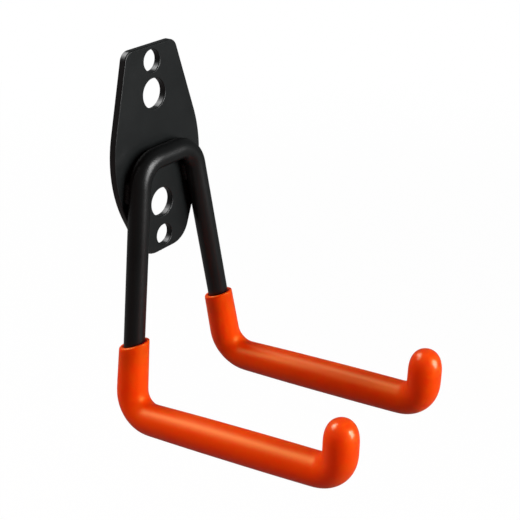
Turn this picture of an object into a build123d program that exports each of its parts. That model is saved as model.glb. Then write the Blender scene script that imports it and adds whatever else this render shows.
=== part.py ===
"""Double-arm utility hook for a wall.

A stamped steel plate carries one bent steel rod, which is an upside-down U.
The crest and the two legs of the U lie flat against the plate and are welded
to it. Each leg turns forward into an arm, and each arm turns up into a short
tip. A soft sleeve covers the rod from the lower leg to the tip.

Frame, in millimetres: the origin is on the plate's back face, midway between
the two screw holes. +X is to the right for someone facing the wall, +Y goes
into the wall, and +Z is up.
"""

import os
from math import radians, tan

from build123d import *

# Plate: a flat six-sided sheet, narrow at its ends and wide at its waist
plate_thickness = 3.5
plate_top_z = 49.0
plate_top_half_width = 15.6
plate_waist_z = -7.5
plate_waist_half_width = 32.0
plate_bottom_z = -49.4
plate_bottom_half_width = 13.6
plate_top_corner_radius = 5.0
plate_waist_corner_radius = 60.0
plate_bottom_corner_radius = 12.0
plate_edge_radius = 0.6

# Holes through the plate, all on its centre line
screw_hole_diameter = 10.0
screw_hole_spacing = 84.0
anchor_hole_diameter = 14.0
upper_anchor_hole_z = 27.0
lower_anchor_hole_z = -25.5
hole_edge_radius = 0.5

# Rod: one round bar, bent six times
rod_diameter = 10.0
crest_z = -0.5
crest_half_width = 17.0
crest_bend_radius = 12.0
leg_height = 121.5
leg_splay = 19.7
elbow_bend_radius = 11.8
arm_reach = 118.2
arm_rise = 14.0
arm_toe_in = 3.0
tip_bend_radius = 13.2
tip_height = 20.0
tip_lean = 0.9
rod_end_chamfer = 1.0

# Sleeves: soft tubes with one closed end, pushed over the rod from the tips.
# The leaning cut at the mouth takes its allowance off the end of the cuff.
sleeve_mouth_z = -85.4
sleeve_clearance = 0.1
sleeve_wall = 2.6
sleeve_mouth_wall = 2.1
sleeve_lip_radius = 0.9
sleeve_lip_inner_radius = 0.5
mouth_front_tilt = 18.0
mouth_inner_tilt = 9.0
mouth_allowance = 6.0
sleeve_end_gap = 0.3

# Weld beads: two along each leg, in the grooves between the rod and the plate
bead_radius = 1.6
bead_length = 8.0
bead_below_crest = 13.5
bead_offset = 3.2
bead_height = 0.8

rod_radius = rod_diameter / 2
rod_axis_y = -(plate_thickness + rod_radius)
bore_radius = rod_radius + sleeve_clearance
sleeve_radius = bore_radius + sleeve_wall
sleeve_mouth_radius = bore_radius + sleeve_mouth_wall

# Corners of the rod's centre line on the right-hand side, before the bends
crest_corner = Vector(crest_half_width, rod_axis_y, crest_z)
elbow_corner = crest_corner + Vector(leg_splay, 0, -leg_height)
arm_corner = elbow_corner + Vector(-arm_toe_in, -arm_reach, arm_rise)
tip_centre = arm_corner + Vector(0, -tip_lean, tip_height)


def mirrored(point):
    """The same point on the left-hand side."""
    return Vector(-point.X, point.Y, point.Z)


def turning_plane(start, direction):
    """A plane through a turned form's axis: its own Y runs along the axis."""
    across = direction.cross(Vector(0, 1, 0))
    return Plane(origin=start, x_dir=across, z_dir=across.cross(direction))


def point_on_leg(z):
    """The point of the right leg's centre line at height z."""
    share = (crest_corner.Z - z) / (crest_corner.Z - elbow_corner.Z)
    return crest_corner + (elbow_corner - crest_corner) * share


# Mounting plate
with BuildPart() as mounting_plate:
    with BuildSketch(Plane.XZ) as plate_outline:
        with BuildLine():
            FilletPolyline(
                (plate_top_half_width, plate_top_z),
                (plate_waist_half_width, plate_waist_z),
                (plate_bottom_half_width, plate_bottom_z),
                (-plate_bottom_half_width, plate_bottom_z),
                (-plate_waist_half_width, plate_waist_z),
                (-plate_top_half_width, plate_top_z),
                close=True,
                radius=[
                    plate_top_corner_radius,
                    plate_waist_corner_radius,
                    plate_bottom_corner_radius,
                    plate_bottom_corner_radius,
                    plate_waist_corner_radius,
                    plate_top_corner_radius,
                ],
            )
        make_face()
        with Locations((0, screw_hole_spacing / 2), (0, -screw_hole_spacing / 2)):
            Circle(screw_hole_diameter / 2, mode=Mode.SUBTRACT)
        with Locations((0, upper_anchor_hole_z), (0, lower_anchor_hole_z)):
            Circle(anchor_hole_diameter / 2, mode=Mode.SUBTRACT)
    extrude(amount=plate_thickness)
    front_face = mounting_plate.faces().sort_by(Axis.Y)[0]
    back_face = mounting_plate.faces().sort_by(Axis.Y)[-1]
    outer_edges = front_face.outer_wire().edges() + back_face.outer_wire().edges()
    hole_edges = mounting_plate.edges().filter_by(GeomType.CIRCLE).filter_by(
        lambda edge: edge.is_closed
    )
    fillet(outer_edges, radius=plate_edge_radius)
    fillet(hole_edges, radius=hole_edge_radius)
mounting_plate.part.label = "mounting_plate"

# Hook rod: a circle swept along the bent centre line, from tip to tip
with BuildPart() as hook_rod:
    with BuildLine() as rod_line:
        FilletPolyline(
            mirrored(tip_centre),
            mirrored(arm_corner),
            mirrored(elbow_corner),
            mirrored(crest_corner),
            crest_corner,
            elbow_corner,
            arm_corner,
            tip_centre,
            radius=[
                tip_bend_radius,
                elbow_bend_radius,
                crest_bend_radius,
                crest_bend_radius,
                elbow_bend_radius,
                tip_bend_radius,
            ],
        )
    with BuildSketch(Plane(origin=rod_line.line @ 0, z_dir=rod_line.line % 0)):
        Circle(rod_radius)
    sweep(path=rod_line.line)
    rod_ends = hook_rod.faces().filter_by(GeomType.PLANE)
    chamfer(rod_ends.edges(), length=rod_end_chamfer)
hook_rod.part.label = "hook_rod"

# Right sleeve: a tapered cuff on the leg, a round tube and a domed closed end
leg_direction = (elbow_corner - crest_corner).normalized()
outward = Vector(0, -1, 0).cross(leg_direction)
mouth_centre = point_on_leg(sleeve_mouth_z)
cuff_start = mouth_centre - leg_direction * mouth_allowance
with BuildPart() as right_sleeve:
    with BuildLine() as sleeve_line:
        FilletPolyline(
            cuff_start,
            elbow_corner,
            arm_corner,
            tip_centre,
            radius=[elbow_bend_radius, tip_bend_radius],
        )
    runs = sleeve_line.edges().sort_by(sleeve_line.wire())
    leg_run, elbow_arc, arm_run, tip_arc, tip_run = runs
    with BuildSketch(turning_plane(cuff_start, leg_direction)):
        with BuildLine():
            Polyline(
                (0, 0),
                (sleeve_mouth_radius, 0),
                (sleeve_radius, leg_run.length),
                (0, leg_run.length),
                close=True,
            )
        make_face()
    revolve(axis=Axis(cuff_start, leg_direction))
    with BuildSketch(Plane(origin=elbow_arc @ 0, z_dir=elbow_arc % 0)):
        Circle(sleeve_radius)
    sweep(path=Wire([elbow_arc, arm_run, tip_arc]))
    with BuildSketch(turning_plane(tip_run @ 0, tip_run % 0)):
        with BuildLine():
            Polyline((0, tip_run.length + sleeve_radius), (0, 0), (sleeve_radius, 0))
            Line((sleeve_radius, 0), (sleeve_radius, tip_run.length))
            CenterArc((0, tip_run.length), sleeve_radius, 0, 90)
        make_face()
    revolve(axis=Axis(tip_run @ 0, tip_run % 0))
    with BuildLine() as bore_line:
        FilletPolyline(
            cuff_start,
            elbow_corner,
            arm_corner,
            tip_centre + (tip_run % 1) * sleeve_end_gap,
            radius=[elbow_bend_radius, tip_bend_radius],
        )
    with BuildSketch(Plane(origin=bore_line.line @ 0, z_dir=bore_line.line % 0)):
        Circle(bore_radius)
    sweep(path=bore_line.line, mode=Mode.SUBTRACT)
    # The mouth leans: its front and its inner side reach further up the leg
    mouth_normal = (
        leg_direction
        + Vector(0, -tan(radians(mouth_front_tilt)), 0)
        - outward * tan(radians(mouth_inner_tilt))
    )
    split(bisect_by=Plane(origin=mouth_centre, z_dir=mouth_normal), keep=Keep.TOP)
    mouth_face = right_sleeve.faces().filter_by(GeomType.PLANE)[0]
    fillet(mouth_face.outer_wire().edges(), radius=sleeve_lip_radius)
    mouth_face = right_sleeve.faces().filter_by(GeomType.PLANE)[0]
    fillet(mouth_face.inner_wires()[0].edges(), radius=sleeve_lip_inner_radius)
right_sleeve.part.label = "right_sleeve"

with BuildPart() as left_sleeve:
    mirror(right_sleeve.part, about=Plane.YZ)
left_sleeve.part.label = "left_sleeve"

# Weld beads: round-ended runs, cut back to the groove between rod and plate
bead_middle = point_on_leg(crest_z - bead_below_crest)
bead_half = bead_length / 2
with BuildPart() as weld_beads:
    for side in (-bead_offset, bead_offset):
        middle = bead_middle + outward * side
        start = Vector(middle.X, -(plate_thickness + bead_height), middle.Z)
        with BuildSketch(turning_plane(start, leg_direction)):
            with BuildLine():
                Line((bead_radius, -bead_half), (bead_radius, bead_half))
                CenterArc((0, bead_half), bead_radius, 0, 90)
                CenterArc((0, -bead_half), bead_radius, -90, 90)
                Line((0, -bead_half - bead_radius), (0, bead_half + bead_radius))
            make_face()
        revolve(axis=Axis(start, leg_direction))
    split(bisect_by=Plane.XZ.offset(plate_thickness), keep=Keep.TOP)
    add(hook_rod.part, mode=Mode.SUBTRACT)
    mirror(about=Plane.YZ)
weld_beads.part.label = "weld_beads"

os.makedirs("parts", exist_ok=True)
for piece in (mounting_plate, hook_rod, left_sleeve, right_sleeve, weld_beads):
    export_step(piece.part, f"parts/{piece.part.label}.step")
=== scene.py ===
"""Looks of a double-arm utility hook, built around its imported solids.

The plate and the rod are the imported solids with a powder-coat finish. The two
sleeves and the weld beads are pieces of their own that stand for their solids.
Lengths are in metres, and the numbers of the hook's own shape are in
millimetres, as the solids have them.
"""

import math

import bpy
import numpy as np
from mathutils import Matrix, Vector


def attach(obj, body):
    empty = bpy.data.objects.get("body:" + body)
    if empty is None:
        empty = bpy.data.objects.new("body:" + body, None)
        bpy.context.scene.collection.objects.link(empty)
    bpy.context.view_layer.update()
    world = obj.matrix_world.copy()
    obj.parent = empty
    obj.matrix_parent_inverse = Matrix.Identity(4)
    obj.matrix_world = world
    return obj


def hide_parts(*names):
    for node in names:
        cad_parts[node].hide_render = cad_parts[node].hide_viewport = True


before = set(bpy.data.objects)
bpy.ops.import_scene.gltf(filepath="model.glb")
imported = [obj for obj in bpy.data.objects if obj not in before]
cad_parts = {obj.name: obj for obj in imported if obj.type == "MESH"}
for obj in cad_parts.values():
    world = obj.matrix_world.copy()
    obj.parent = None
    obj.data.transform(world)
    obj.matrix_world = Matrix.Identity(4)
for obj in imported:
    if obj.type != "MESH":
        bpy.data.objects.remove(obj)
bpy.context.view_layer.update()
scene = bpy.context.scene
MM = 0.001

# The solids' own shape: corners of the right half of the rod's centre line
CREST = np.array((17.0, -8.5, -0.5))
ELBOW = np.array((36.7, -8.5, -122.0))
ARM = np.array((33.7, -126.7, -108.0))
TIP = np.array((33.7, -127.6, -88.0))
ELBOW_BEND = 11.8
TIP_BEND = 13.2
ROD_RADIUS = 5.0
PLATE_FRONT = -3.5


def unit(vector):
    """The vector at length 1."""
    return vector / np.linalg.norm(vector)


def rounded_route(corners, radii, step):
    """Points along a line of straight runs and arcs, about a step apart."""
    points = [corners[0]]
    for before, corner, after, radius in zip(corners, corners[1:], corners[2:], radii):
        into = unit(corner - before)
        out = unit(after - corner)
        turn = math.acos(float(np.clip(into @ out, -1, 1)))
        cut = radius * math.tan(turn / 2)
        start = corner - into * cut
        inward = unit(out - into * (into @ out))
        centre = start + inward * radius
        run = np.linalg.norm(start - points[-1])
        steps = max(2, round(run / step))
        for share in np.arange(1, steps) / steps:
            points.append(start - into * run * (1 - share))
        for angle in np.linspace(0, turn, max(8, round(turn * radius / step))):
            points.append(centre + (into * math.sin(angle) - inward * math.cos(angle)) * radius)
    run = np.linalg.norm(corners[-1] - points[-1])
    last = points[-1]
    steps = max(2, round(run / step))
    for share in np.arange(1, steps + 1) / steps:
        points.append(last + (corners[-1] - last) * share)
    return np.array(points)


def eased(points, passes):
    """The points with each bend eased in and out, so that no edge shows at its ends."""
    points = points.copy()
    for _ in range(passes):
        points[1:-1] = (points[:-2] + 2 * points[1:-1] + points[2:]) / 4
    return points


def carried_frames(points, side):
    """For each point: the direction of travel and two directions across it.

    The first stays on the inner side of the bends, and the second on the side
    away from the middle of the hook. Both are carried along without twist.
    """
    travel = np.gradient(points, axis=0)
    travel /= np.linalg.norm(travel, axis=1)[:, None]
    inner = np.zeros_like(points)
    current = np.array((0.0, -1.0, 0.0))
    for index, direction in enumerate(travel):
        current = unit(current - direction * (current @ direction))
        inner[index] = current
    outer = np.cross(inner, travel) * side
    return travel, inner, outer


def new_mesh(name, vertices, faces):
    """A smooth mesh object from points in millimetres."""
    mesh = bpy.data.meshes.new(name)
    mesh.from_pydata([tuple(v * MM) for v in vertices], [], faces)
    mesh.validate()
    mesh.shade_smooth()
    made = bpy.data.objects.new(name, mesh)
    scene.collection.objects.link(made)
    return made


def skin(rings, start_pole, end_pole, flip):
    """Vertices and faces of a tube over rings of one size, closed by a fan at each end."""
    count = len(rings[0])
    vertices = [point for ring in rings for point in ring]
    faces = []
    for row in range(len(rings) - 1):
        for column in range(count):
            right = (column + 1) % count
            faces.append((row * count + column, row * count + right,
                          (row + 1) * count + right, (row + 1) * count + column))
    vertices.append(start_pole)
    pole = len(vertices) - 1
    faces += [(pole, (column + 1) % count, column) for column in range(count)]
    vertices.append(end_pole)
    pole = len(vertices) - 1
    base = (len(rings) - 1) * count
    faces += [(pole, base + column, base + (column + 1) % count) for column in range(count)]
    if flip:
        faces = [face[::-1] for face in faces]
    return vertices, faces


# Sleeves. Side is 1 for the right one and -1 for the left one, as for the mouths.
# A mouth leans: its front and its inner side reach further up the leg.
MOUTH_Z = {1: -84.5, -1: -85.4}
FRONT_LEAN = math.tan(math.radians(18.0))
INNER_LEAN = math.tan(math.radians(9.0))
MOUTH_RADIUS = 7.1
MOUTH_BORE = 5.4
MOUTH_FLARE = 1.2
LIP_OUTER = 0.9
LIP_INNER = 0.45
LIP_OUTER_RINGS = 8
LIP_INNER_RINGS = 5

# The bore is closed inside the rod, where nobody sees its end
BORE = 5.1
BORE_END = 9.0
BORE_MIDDLE = 4.0

# The wall: how far apart its rings are, and where it turns square to the leg
SEGMENTS = 72
ANGLES = np.linspace(0, 2 * math.pi, SEGMENTS, endpoint=False)
RING_STEP = 0.9
EASING_PASSES = 6
CUFF_START = 1.6
SQUARE_BEFORE_BEND = 3.5

# The wall's radius. Middles and reaches are shares of the sleeve's whole length.
WALL_RADIUS = 7.62
SWELL = 0.36
SWELL_MIDDLE = 0.57
SWELL_REACH = 0.27
MOUTH_TAPER = 0.5
MOUTH_TAPER_REACH = 0.13

# Creases on the inner side of the tip's bend
CREASE_HEIGHT = 0.16
CREASE_HALF_ANGLE = 0.75
CREASE_REACH = 3.2
CREASE_TURN_PER_MM = 2.4

# The closed end's dome, fuller than an ellipse
DOME_HEIGHT = 11.5
DOME_BELOW_TIP = 3.7
DOME_FULLNESS = 2.5
DOME_RINGS = 25
WALL_ENDS_BELOW_DOME = 0.3


def sleeve_radius(share):
    """The sleeve's radius in millimetres, by the share of its whole length."""
    swell = SWELL * math.exp(-(abs(share - SWELL_MIDDLE) / SWELL_REACH) ** 3)
    taper = MOUTH_TAPER * math.exp(-(share / MOUTH_TAPER_REACH) ** 1.5)
    return WALL_RADIUS + swell - taper


def mouth_offset(angle, radius):
    """How far down the leg the leaning mouth plane lies at this place."""
    return radius * (INNER_LEAN * math.sin(angle) - FRONT_LEAN * math.cos(angle))


def crease(angle, past_bend):
    """The height of the creases at an angle, by the way past the middle of the tip's bend."""
    facing = math.exp(-((min(angle, 2 * math.pi - angle)) / CREASE_HALF_ANGLE) ** 2)
    near_bend = math.exp(-(past_bend / CREASE_REACH) ** 2)
    return CREASE_HEIGHT * facing * near_bend * math.cos(past_bend * CREASE_TURN_PER_MM)


def make_sleeve(name, side, node):
    """One sleeve, with its leaning mouth, rolled lip, creased bend and domed end."""
    mirror = np.array((side, 1.0, 1.0))
    leg = unit((ELBOW - CREST) * mirror)
    down_leg = (CREST[2] - MOUTH_Z[side]) / (CREST[2] - ELBOW[2])
    mouth = (CREST + (ELBOW - CREST) * down_leg) * mirror
    corners = [mouth, ELBOW * mirror, ARM * mirror, TIP * mirror]
    route = eased(rounded_route(corners, [ELBOW_BEND, TIP_BEND], RING_STEP), EASING_PASSES)
    travel, inner, outer = carried_frames(route, side)
    steps = np.linalg.norm(np.diff(route, axis=0), axis=1)
    along = np.concatenate([[0.0], np.cumsum(steps)])
    length = along[-1]
    square_at = np.linalg.norm(ELBOW * mirror - mouth) - ELBOW_BEND - SQUARE_BEFORE_BEND
    tip_bend_at = along[np.argmin(np.linalg.norm(route - ARM * mirror, axis=1))]

    def across(row, angle):
        """The direction across the route, at an angle round it."""
        return inner[row] * math.cos(angle) + outer[row] * math.sin(angle)

    def ring_on_leg(radius, depth):
        """A ring round the leg, a depth below the leaning mouth plane."""
        return [mouth + leg * (mouth_offset(angle, radius) + depth) + across(0, angle) * radius
                for angle in ANGLES]

    # The bore and the rolled lip
    rings = [ring_on_leg(BORE, BORE_END), ring_on_leg(BORE, BORE_MIDDLE),
             ring_on_leg(MOUTH_BORE, MOUTH_FLARE)]
    for turn in np.linspace(0, math.pi / 2, LIP_INNER_RINGS):
        rings.append(ring_on_leg(MOUTH_BORE + LIP_INNER * (1 - math.cos(turn)),
                                 LIP_INNER * (1 - math.sin(turn))))
    for turn in np.linspace(0, math.pi / 2, LIP_OUTER_RINGS):
        rings.append(ring_on_leg(MOUTH_RADIUS - LIP_OUTER * (1 - math.sin(turn)),
                                 LIP_OUTER * (1 - math.cos(turn))))

    # The cuff: rings go from the leaning plane to square across the leg
    for row in range(len(route)):
        if not CUFF_START < along[row] < square_at:
            continue
        radius = sleeve_radius(along[row] / length)
        lean_left = 1 - along[row] / square_at
        rings.append([mouth + leg * (along[row] + mouth_offset(angle, radius) * lean_left)
                      + across(0, angle) * radius for angle in ANGLES])

    # The elbow, the arm and the tip up to its dome
    for row in range(len(route)):
        if along[row] < square_at or along[row] > length - DOME_BELOW_TIP - WALL_ENDS_BELOW_DOME:
            continue
        radius = sleeve_radius(along[row] / length)
        rings.append([route[row] + across(row, angle) * (radius + crease(angle, along[row] - tip_bend_at))
                      for angle in ANGLES])

    # The dome
    dome_base = route[-1] - travel[-1] * DOME_BELOW_TIP
    dome_radius = sleeve_radius(1.0)
    for turn in np.linspace(0, math.pi / 2, DOME_RINGS + 1)[:-1]:
        centre = dome_base + travel[-1] * DOME_HEIGHT * math.sin(turn) ** (2 / DOME_FULLNESS)
        radius = dome_radius * math.cos(turn) ** (2 / DOME_FULLNESS)
        rings.append([centre + across(-1, angle) * radius for angle in ANGLES])
    pole = dome_base + travel[-1] * DOME_HEIGHT

    vertices, faces = skin(rings, mouth + leg * BORE_END, pole, side > 0)
    made = new_mesh(name, vertices, faces)
    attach(made, "root")
    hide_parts(node)
    return made


right_sleeve = make_sleeve("sleeve_right", 1, "right_sleeve")
left_sleeve = make_sleeve("sleeve_left", -1, "left_sleeve")

# Welds: a rippled bead in the groove on each side of each leg. Out is measured
# from the leg's centre line along the plate, and high from the plate's front.
WELD_BELOW_CREST = 13.5
WELD_HALF = 5.2
WELD_TOE_ON_PLATE = 4.9
WELD_TOE_ON_ROD = 4.3
WELD_ROOT = 2.6
WELD_BACK = 2.2
WELD_BACK_HIGH = 1.1
WELD_LIFT = 0.01
WELD_BULGE = 0.42
BULGE_UPWARD = 0.5
END_HIGH = 0.35
RIPPLE_PITCH = 1.15
RIPPLE_HEIGHT = 0.11
RIPPLE_BOW = 0.35
UNEVENNESS = 0.06
UNEVEN_TURN_PER_MM = 1.7
PHASE_STEP = 1.3
WELD_STEPS = 96
WELD_POINTS = 14


def weld_bead(side, hand, phase):
    """Vertices and faces of one bead. Hand is 1 on the leg's outer side, else -1."""
    mirror = np.array((side, 1.0, 1.0))
    leg = unit((ELBOW - CREST) * mirror)
    outward = unit(np.cross((0.0, -1.0, 0.0), leg)) * side * hand
    down_leg = WELD_BELOW_CREST / (CREST[2] - ELBOW[2])
    middle = (CREST + (ELBOW - CREST) * down_leg) * mirror
    middle[1] = PLATE_FRONT
    toe_high = ROD_RADIUS - math.sqrt(ROD_RADIUS ** 2 - WELD_TOE_ON_ROD ** 2)
    rings = []
    for step in range(1, WELD_STEPS):
        place = (step / WELD_STEPS * 2 - 1) * WELD_HALF
        end_taper = math.sqrt(max(0.0, 1 - abs(place / WELD_HALF) ** 5))
        uneven = 1 + UNEVENNESS * math.sin(place * UNEVEN_TURN_PER_MM + phase)
        ring = []
        for index in range(WELD_POINTS):
            across = index / (WELD_POINTS - 1)
            swell = math.sin(math.pi * across)
            wave = math.cos(2 * math.pi * (place / RIPPLE_PITCH + RIPPLE_BOW * swell) + phase)
            bulge = WELD_BULGE + RIPPLE_HEIGHT * wave
            toe = WELD_TOE_ON_PLATE + (WELD_TOE_ON_ROD - WELD_TOE_ON_PLATE) * across
            out = WELD_ROOT + (toe + bulge * swell - WELD_ROOT) * end_taper * uneven
            high = toe_high * across + bulge * BULGE_UPWARD * swell
            high = high * (END_HIGH + (1 - END_HIGH) * end_taper) + WELD_LIFT
            ring.append(middle + leg * place + outward * out + np.array((0.0, -high, 0.0)))
        for high in (WELD_BACK_HIGH, WELD_LIFT):
            ring.append(middle + leg * place + outward * WELD_BACK + np.array((0.0, -high, 0.0)))
        rings.append(ring)
    start_pole, end_pole = (sum(ring) / len(ring) for ring in (rings[0], rings[-1]))
    return skin(rings, start_pole, end_pole, side * hand < 0)


weld_vertices = []
weld_faces = []
for number, (side, hand) in enumerate(((1, 1), (1, -1), (-1, 1), (-1, -1))):
    vertices, faces = weld_bead(side, hand, PHASE_STEP * number)
    weld_faces += [tuple(index + len(weld_vertices) for index in face) for face in faces]
    weld_vertices += vertices
welds = new_mesh("rippled_welds", weld_vertices, weld_faces)
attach(welds, "root")
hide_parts("weld_beads")

# Materials
UNIT_RANGE = (0.0, 1.0)
CLOUD_SPAN = (0.3, 0.7)
CLOUD_DETAIL = 3.0


def new_material(name):
    """A node material, its tree and its shader."""
    made = bpy.data.materials.new(name)
    made.use_nodes = True
    return made, made.node_tree, made.node_tree.nodes["Principled BSDF"]


def noise(tree, place, scale, detail):
    """Noise over the object, from 0 to 1."""
    node = tree.nodes.new("ShaderNodeTexNoise")
    node.inputs["Scale"].default_value = scale
    node.inputs["Detail"].default_value = detail
    tree.links.new(place.outputs["Object"], node.inputs["Vector"])
    return node.outputs["Fac"]


def mapped(tree, value, source, target, interpolation="LINEAR"):
    """The value carried from the source range to the target range."""
    node = tree.nodes.new("ShaderNodeMapRange")
    node.interpolation_type = interpolation
    for name, limit in zip(("From Min", "From Max", "To Min", "To Max"), (*source, *target)):
        node.inputs[name].default_value = limit
    tree.links.new(value, node.inputs["Value"])
    return node.outputs["Result"]


def drifting(tree, cloud, dark, light):
    """A colour that drifts from the dark one to the light one with the cloud."""
    node = tree.nodes.new("ShaderNodeValToRGB")
    for element, position, colour in zip(node.color_ramp.elements, CLOUD_SPAN, (dark, light)):
        element.position = position
        element.color = (*colour, 1)
    tree.links.new(cloud, node.inputs["Fac"])
    return node.outputs["Color"]


# Powder coat. The slight green and blue in the tone answer the red-tinted fill.
COAT_CLOUD_SCALE = 55.0
COAT_DARK = (0.75, 0.87, 0.88)
COAT_LIGHT = (1.02, 1.17, 1.18)
COAT_GLOSS_DRIFT = 0.04
GRAIN_SCALE = 1800.0
GRAIN_DETAIL = 2.0
GRAIN_DEPTH = 0.0001


def black_coat(name, grey, roughness, specular, grain_strength):
    """Black powder coat: fine grain, and a slight cloud in tone and gloss."""
    made, tree, shader = new_material(name)
    place = tree.nodes.new("ShaderNodeTexCoord")
    cloud = noise(tree, place, COAT_CLOUD_SCALE, CLOUD_DETAIL)
    dark = [grey * part for part in COAT_DARK]
    light = [grey * part for part in COAT_LIGHT]
    tree.links.new(drifting(tree, cloud, dark, light), shader.inputs["Base Color"])
    gloss = mapped(tree, cloud, UNIT_RANGE, (roughness - COAT_GLOSS_DRIFT, roughness + COAT_GLOSS_DRIFT))
    tree.links.new(gloss, shader.inputs["Roughness"])
    bump = tree.nodes.new("ShaderNodeBump")
    bump.inputs["Strength"].default_value = grain_strength
    bump.inputs["Distance"].default_value = GRAIN_DEPTH
    tree.links.new(noise(tree, place, GRAIN_SCALE, GRAIN_DETAIL), bump.inputs["Height"])
    tree.links.new(bump.outputs["Normal"], shader.inputs["Normal"])
    shader.inputs["Specular IOR Level"].default_value = specular
    return made


plate_coat = black_coat("plate_coat", grey=0.0105, roughness=0.3, specular=0.32, grain_strength=0.25)
rod_coat = black_coat("rod_coat", grey=0.0045, roughness=0.34, specular=0.42, grain_strength=0.15)
weld_coat = black_coat("weld_coat", grey=0.005, roughness=0.52, specular=0.32, grain_strength=0.3)

# Orange rubber: a soft dipped skin, with light that bleeds red under its surface
RUBBER_CLOUD_SCALE = 45.0
RUBBER_DARK = (0.96, 0.063, 0.0004)
RUBBER_LIGHT = (0.98, 0.073, 0.0005)
RUBBER_ROUGHNESS = (0.37, 0.41)
rubber, rubber_tree, rubber_shader = new_material("orange_rubber")
rubber_place = rubber_tree.nodes.new("ShaderNodeTexCoord")
rubber_cloud = noise(rubber_tree, rubber_place, RUBBER_CLOUD_SCALE, CLOUD_DETAIL)
rubber_tone = drifting(rubber_tree, rubber_cloud, RUBBER_DARK, RUBBER_LIGHT)
rubber_tree.links.new(rubber_tone, rubber_shader.inputs["Base Color"])
rubber_gloss = mapped(rubber_tree, rubber_cloud, UNIT_RANGE, RUBBER_ROUGHNESS)
rubber_tree.links.new(rubber_gloss, rubber_shader.inputs["Roughness"])
rubber_shader.inputs["Specular IOR Level"].default_value = 0.44
rubber_shader.inputs["Specular Tint"].default_value = (1.0, 0.85, 0.16, 1)
rubber_shader.inputs["Subsurface Weight"].default_value = 0.7
rubber_shader.inputs["Subsurface Radius"].default_value = (1.0, 0.1, 0.02)
rubber_shader.inputs["Subsurface Scale"].default_value = 0.006

# Only the tops of the closed ends are polished. They are told from the rest by
# their height, with a small allowance for how far forward they are, in metres.
POLISH_DIRECTION = (0.0, -0.1, 1.0)
POLISH_HEIGHT = (-0.0740, -0.0718)
POLISH_WEIGHT = (0.0, 0.5)
rubber_height = rubber_tree.nodes.new("ShaderNodeVectorMath")
rubber_height.operation = "DOT_PRODUCT"
rubber_height.inputs[1].default_value = POLISH_DIRECTION
rubber_tree.links.new(rubber_place.outputs["Object"], rubber_height.inputs[0])
polish = mapped(rubber_tree, rubber_height.outputs["Value"], POLISH_HEIGHT, POLISH_WEIGHT, "SMOOTHSTEP")
rubber_tree.links.new(polish, rubber_shader.inputs["Coat Weight"])
rubber_shader.inputs["Coat Roughness"].default_value = 0.06

for node, finish in (("mounting_plate", plate_coat), ("hook_rod", rod_coat)):
    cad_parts[node].data.materials[0] = finish
welds.data.materials.append(weld_coat)
for sleeve in (right_sleeve, left_sleeve):
    sleeve.data.materials.append(rubber)

# Camera: the photograph's place and lens, with axes as columns
camera_data = bpy.data.cameras.new("camera")
camera_data.sensor_width = 36.0
camera_data.lens = 75.098
camera_data.clip_start = 0.01
camera_data.clip_end = 20.0
camera = bpy.data.objects.new("camera", camera_data)
camera.matrix_world = Matrix((
    (0.613605, 0.358968, -0.703300, -0.3390835),
    (-0.789125, 0.247467, -0.562177, -0.3320528),
    (-0.027760, 0.899946, 0.435118, 0.1698706),
    (0.0, 0.0, 0.0, 1.0),
))
scene.collection.objects.link(camera)
scene.camera = camera

# Background: white for the camera and through glass, and dimmer in a gloss
AMBIENT = 0.03
GLOSS_SHARE = 0.06


def computed(tree, operation, first, second):
    """The result of a Math node. Its inputs are sockets or numbers."""
    node = tree.nodes.new("ShaderNodeMath")
    node.operation = operation
    for socket, value in zip(node.inputs, (first, second)):
        if isinstance(value, float):
            socket.default_value = value
        else:
            tree.links.new(value, socket)
    return node.outputs[0]


def seen_directly(tree):
    """One for rays from the camera or through glass, a share of it off a gloss."""
    path = tree.nodes.new("ShaderNodeLightPath")
    gloss = computed(tree, "MULTIPLY", path.outputs["Is Glossy Ray"], GLOSS_SHARE)
    clear = computed(tree, "MAXIMUM", path.outputs["Is Camera Ray"], path.outputs["Is Transmission Ray"])
    return computed(tree, "MAXIMUM", clear, gloss)


# Floor: well below the hook, which hangs. It is plain white far out, and takes
# the hook's shadow nearer to it. Its near and far are distances from its middle.
FLOOR_Z = -0.40
FLOOR_HALF = 6.0
FLOOR_WHITE = (0.93, 1.0)
FLOOR_NEAR_FAR = (0.35, 1.6)
FLOOR_BOUNCE = 0.06
FLOOR_PAINT = 0.9
floor_mesh = bpy.data.meshes.new("floor")
floor_corners = [(x * FLOOR_HALF, y * FLOOR_HALF, FLOOR_Z) for x, y in ((-1, -1), (1, -1), (1, 1), (-1, 1))]
floor_mesh.from_pydata(floor_corners, [], [(0, 1, 2, 3)])
floor = bpy.data.objects.new("floor", floor_mesh)
scene.collection.objects.link(floor)
floor_paint = bpy.data.materials.new("floor_paint")
floor_paint.use_nodes = True
floor_tree = floor_paint.node_tree
floor_tree.nodes.remove(floor_tree.nodes["Principled BSDF"])
floor_seen = seen_directly(floor_tree)
floor_matt = floor_tree.nodes.new("ShaderNodeBsdfDiffuse")
floor_colour = mapped(floor_tree, floor_seen, UNIT_RANGE, (FLOOR_BOUNCE, FLOOR_PAINT))
floor_tree.links.new(floor_colour, floor_matt.inputs["Color"])
floor_glow = floor_tree.nodes.new("ShaderNodeEmission")
floor_glow.inputs["Strength"].default_value = 1.0
floor_place = floor_tree.nodes.new("ShaderNodeTexCoord")
floor_distance = floor_tree.nodes.new("ShaderNodeVectorMath")
floor_distance.operation = "LENGTH"
floor_tree.links.new(floor_place.outputs["Object"], floor_distance.inputs[0])
floor_white = mapped(floor_tree, floor_distance.outputs["Value"], FLOOR_NEAR_FAR, FLOOR_WHITE, "SMOOTHSTEP")
glow_share = computed(floor_tree, "MULTIPLY", floor_seen, floor_white)
floor_mix = floor_tree.nodes.new("ShaderNodeMixShader")
floor_tree.links.new(glow_share, floor_mix.inputs["Fac"])
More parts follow.
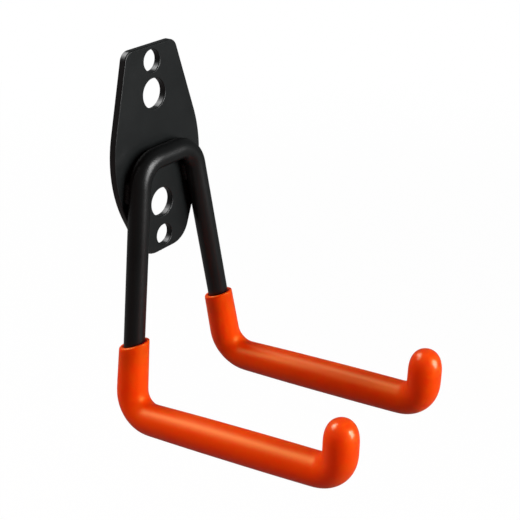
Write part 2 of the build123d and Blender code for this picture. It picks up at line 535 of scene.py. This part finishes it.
floor_tree.links.new(floor_matt.outputs[0], floor_mix.inputs[1])
floor_tree.links.new(floor_glow.outputs[0], floor_mix.inputs[2])
floor_tree.links.new(floor_mix.outputs[0], floor_tree.nodes["Material Output"].inputs["Surface"])
floor_mesh.materials.append(floor_paint)

world = bpy.data.worlds.new("world")
scene.world = world
world.use_nodes = True
world_tree = world.node_tree
sky = world_tree.nodes["Background"]
sky.inputs["Color"].default_value = (1, 1, 1, 1)
sky_strength = mapped(world_tree, seen_directly(world_tree), UNIT_RANGE, (AMBIENT, 1.0))
world_tree.links.new(sky_strength, sky.inputs["Strength"])

# Lamps, each (name, azimuth, elevation, distance, width, power, colour, seen in
# gloss). Azimuth 0 is straight in front of the plate. The fill lights without a
# mirror image of itself. The box in front gives one highlight on each tip, and the
# two lights at the rear give the other and the broad sheen on top of the arms: one
# would leave the far arm in the plate's shadow.
WHITE_LIGHT = (1.0, 1.0, 1.0)
WARM_LIGHT = (1.0, 0.24, 0.18)
LAMPS = (
    ("key", 17.0, 9.0, 1.3, 0.8, 16.5, WHITE_LIGHT, True),
    ("fill", 270.0, 0.0, 1.3, 1.2, 5.4, WARM_LIGHT, False),
    ("front_box", 8.0, 27.0, 1.0, 0.22, 3.0, WHITE_LIGHT, True),
    ("rear_near", 207.0, 43.0, 1.8, 1.2, 13.0, WHITE_LIGHT, True),
    ("rear_far", 180.0, 45.0, 1.8, 1.2, 23.0, WHITE_LIGHT, True),
)
TARGET = Vector((0.0, -0.05, -0.05))
for name, azimuth, elevation, distance, width, power, tint, in_gloss in LAMPS:
    around = math.radians(azimuth)
    above = math.radians(elevation)
    towards = Vector((math.sin(around) * math.cos(above),
                      -math.cos(around) * math.cos(above),
                      math.sin(above)))
    lamp = bpy.data.lights.new(name, "AREA")
    lamp.shape = "DISK"
    lamp.size = width
    lamp.energy = power
    lamp.color = tint
    holder = bpy.data.objects.new(name, lamp)
    holder.location = TARGET + towards * distance
    holder.rotation_euler = (-towards).to_track_quat("-Z", "Y").to_euler()
    holder.visible_glossy = in_gloss
    scene.collection.objects.link(holder)

scene.view_settings.view_transform = "Standard"
